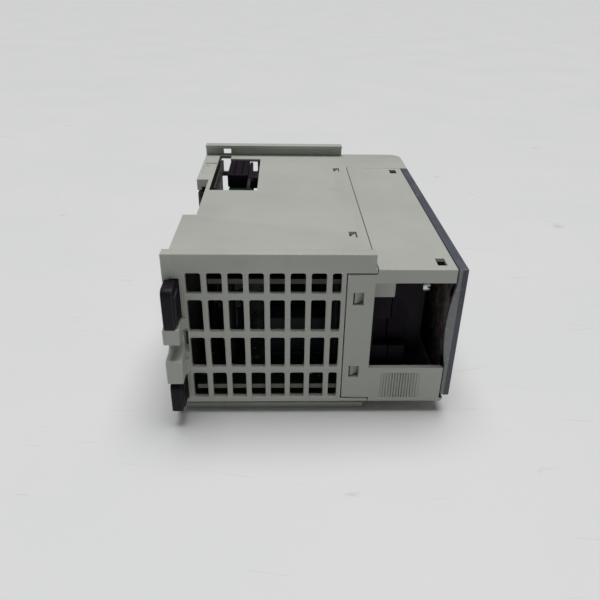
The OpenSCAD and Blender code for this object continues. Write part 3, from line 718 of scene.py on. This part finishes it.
bpy.ops.mesh.extrude_region_move(TRANSFORM_OT_translate={"value": (0, 0, -0.15 * MM)})
bpy.ops.mesh.select_all(action="SELECT")
bpy.ops.mesh.normals_make_consistent(inside=False)
bpy.ops.object.mode_set(mode="OBJECT")
for face in can.data.polygons:
    place = face.center + can.location
    bare = place.z > top - 0.3 * MM and (place.xy - middle.xy).length < 0.8 * radius
    face.material_index = 1 if bare else 0
capacitors = row(can, [Vector((0, CAPACITOR_PITCH * k, 0)) for k in range(1, CAPACITORS)])
alone(capacitors)
bpy.ops.object.shade_smooth_by_angle(angle=math.radians(32))
hand_in(capacitors, body_of["capacitors"], slot_of["capacitors"], "capacitors")
print("capacitors:", CAPACITORS, "with", len(capacitors.data.polygons), "faces")

# %% [markdown]
# ## Chips
# A chip is an epoxy slab with a draft on its sides, a round dimple at pin one and two rows of bent
# legs. The slab is a cube whose top is drawn in; a leg starts as a short bar and is pulled down and
# out, and an array and a mirror fill both rows, as a lead frame is stamped.

# %% One chip for each place
CHIP_WIDTHS = (14, 10, 14, 10)
CHIP_PITCH = 17 * MM
LEG_PITCH = 1.27 * MM
low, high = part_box("logic_chips")
span = high.y - low.y - (len(CHIP_WIDTHS) - 1) * CHIP_PITCH
chips = []
for place, width in enumerate(CHIP_WIDTHS):
    middle = Vector(((low.x + high.x) / 2, low.y + span / 2 + place * CHIP_PITCH, low.z))
    half = Vector((width * MM / 2, span / 2, 0))
    reach = Vector((half.x, half.y - 1.3 * MM, 0))
    slab = block("chip_slab", middle - reach + up * 0.12 * MM, middle + reach + up * (high.z - low.z),
                 chip_black, zinc)
    pick(slab, lambda face: face.normal.z > 0.9)
    bpy.ops.transform.resize(value=((width - 0.5) / width, 0.94, 1), center_override=middle)
    bpy.ops.object.mode_set(mode="OBJECT")
    add(slab, "BEVEL", width=0.12 * MM, segments=2, limit_method="ANGLE")
    legs = int((width - 1.6) * MM / LEG_PITCH) + 1
    start = middle + Vector((-(legs - 1) * LEG_PITCH / 2, reach.y - 0.2 * MM, 0.7 * MM))
    leg = block("chip_leg", start - Vector((0.2, 0, 0)) * MM, start + Vector((0.2, 0.6, 0.15)) * MM,
                chip_black, zinc)
    pick(leg, lambda face: face.normal.y > 0.9)
    bpy.ops.mesh.extrude_region_move(TRANSFORM_OT_translate={"value": (0, 0.25 * MM, -0.7 * MM)})
    bpy.ops.mesh.extrude_region_move(TRANSFORM_OT_translate={"value": (0, 0.55 * MM, 0)})
    bpy.ops.object.mode_set(mode="OBJECT")
    for face in leg.data.polygons:
        face.material_index = 1
    add(leg, "ARRAY", count=legs, use_relative_offset=False, use_constant_offset=True,
        constant_offset_displace=(LEG_PITCH, 0, 0))
    leg.location = leg.location - middle
    bpy.ops.object.transform_apply(location=True)
    add(leg, "MIRROR", use_axis=(False, True, False))
    leg.location = middle
    bpy.ops.object.transform_apply(location=True)
    chips.append(join(slab, leg))
chips = join(*chips)
chips.name = "chip_row"
hand_in(chips, body_of["logic_chips"], slot_of["logic_chips"], "logic_chips")
print("chips:", len(CHIP_WIDTHS), "with", len(chips.data.polygons), "faces")

# %% [markdown]
# ## The crumpled label sheet
# The card behind the door has been pressed into the wiring again and again. It starts as a fine grid
# in the label's own outline. Two displacements crumple it: wide cells whose borders become creases,
# then small clouds for the cockle, and a solidify gives it the thickness of card. A cloth simulation
# could crush it too, but this keeps the creases where the card has room, between door and wires.

# %% Crumple the sheet
low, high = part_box("door_label")
PAPER_THICK = 0.12 * MM
CREASE_ROOM = 1.5 * MM
bpy.ops.object.select_all(action="DESELECT")
bpy.ops.mesh.primitive_grid_add(x_subdivisions=90, y_subdivisions=210, size=1,
                                location=(high.x - PAPER_THICK - CREASE_ROOM / 2, (low.y + high.y) / 2,
                                          (low.z + high.z) / 2),
                                rotation=(0, math.radians(90), 0))
sheet = bpy.context.object
sheet.name = "crumpled_sheet"
sheet.scale = (high.z - low.z, high.y - low.y, 1)
bpy.ops.object.transform_apply(location=True, rotation=True, scale=True)
dress(sheet, paper)
creases = bpy.data.textures.new("creases", "VORONOI")
creases.noise_scale = 5 * MM
creases.distance_metric = "DISTANCE"
cockle = bpy.data.textures.new("cockle", "CLOUDS")
cockle.noise_scale = 1.6 * MM
add(sheet, "DISPLACE", texture=creases, direction="X", strength=0.55 * CREASE_ROOM, mid_level=0.5,
    texture_coords="LOCAL")
add(sheet, "DISPLACE", texture=cockle, direction="X", strength=0.40 * CREASE_ROOM, mid_level=0.5,
    texture_coords="LOCAL")
add(sheet, "SOLIDIFY", thickness=PAPER_THICK, offset=0)
alone(sheet)
bpy.ops.object.shade_smooth_by_angle(angle=math.radians(25))
hand_in(sheet, body_of["door_label"], slot_of["door_label"], "door_label")
depths = [v.co.x / MM for v in sheet.data.vertices]
print("sheet lies between", round(min(depths), 2), "and", round(max(depths), 2), "mm")

# %% [markdown]
# ## The table
# The module lies on a pale work surface. Years of sliding parts have left hair-thin scratches, here
# the contour lines of a noise that is stretched a different way for each family of scratches, and a
# second noise rubs most of each line out again.

# %% Table finish
def table_top():
    f = Finish("pale table")
    scratches = 0.0
    for turn, shift in ((20, 0.0), (68, 3.1), (115, 7.7), (155, 12.4)):
        along = f.add("ShaderNodeMapping", {},
                      {"Vector": f.place, "Rotation": (0, 0, math.radians(turn)),
                       "Scale": (0.12, 1.0, 1.0), "Location": (shift, shift, 0)})
        elsewhere = f.add("ShaderNodeMapping", {},
                          {"Vector": f.place, "Location": (shift * 2, shift, 0)})
        line = f.noise(26, 2.0, 0.5, along)
        off_line = f.add("ShaderNodeMath", {"operation": "ABSOLUTE"}, {0: line - 0.5})
        hair = 1 - off_line.between(0.0, 0.0022)
        scratches = hair * f.noise(38, 3.0, 0.6, elsewhere).between(0.56, 0.68) + scratches
    cloud = f.noise(12, 4.0, 0.6)
    pale = f.mix(cloud.between(0.3, 0.7), (0.745, 0.752, 0.745), (0.758, 0.762, 0.752))
    f.set(Base_Color=f.mix(scratches * 0.35, pale, (0.50, 0.46, 0.40)), Roughness=0.55 + 0.15 * cloud,
          Specular_IOR_Level=0.3)
    return f.rough_skin(f.noise(900, 2.0), 0.01, 0.2).material


# %% Floor
bpy.ops.mesh.primitive_plane_add(size=8, location=(0, 1.5, 0))
floor = bpy.context.object
floor.name = "floor"
dress(floor, table_top())
print("floor laid")

# %% [markdown]
# ## Light
# The module lies under one wide, soft overhead panel in a pale room. A sun lamp with a
# broad disc stands in for the panel: it needs no distance or size, its shadows have the same soft
# edge, and only its tilt decides how dark the near side is. The room is a weak, even world colour.

# %% Lights
scene = bpy.context.scene
scene.view_settings.view_transform = "Standard"
world = bpy.data.worlds.new("studio")
scene.world = world
world.use_nodes = True
world.node_tree.nodes["Background"].inputs["Color"].default_value = (0.93, 0.96, 1.0, 1)
world.node_tree.nodes["Background"].inputs["Strength"].default_value = 0.11
bpy.ops.object.light_add(type="SUN", location=(0, 0.3, 1), rotation=(math.radians(-5), math.radians(3), 0))
softbox = bpy.context.object
softbox.data.angle = math.radians(44)
softbox.data.energy = 2.56
print("one overhead panel of", round(math.degrees(softbox.data.angle)), "degrees")

# %% [markdown]
# ## Finish
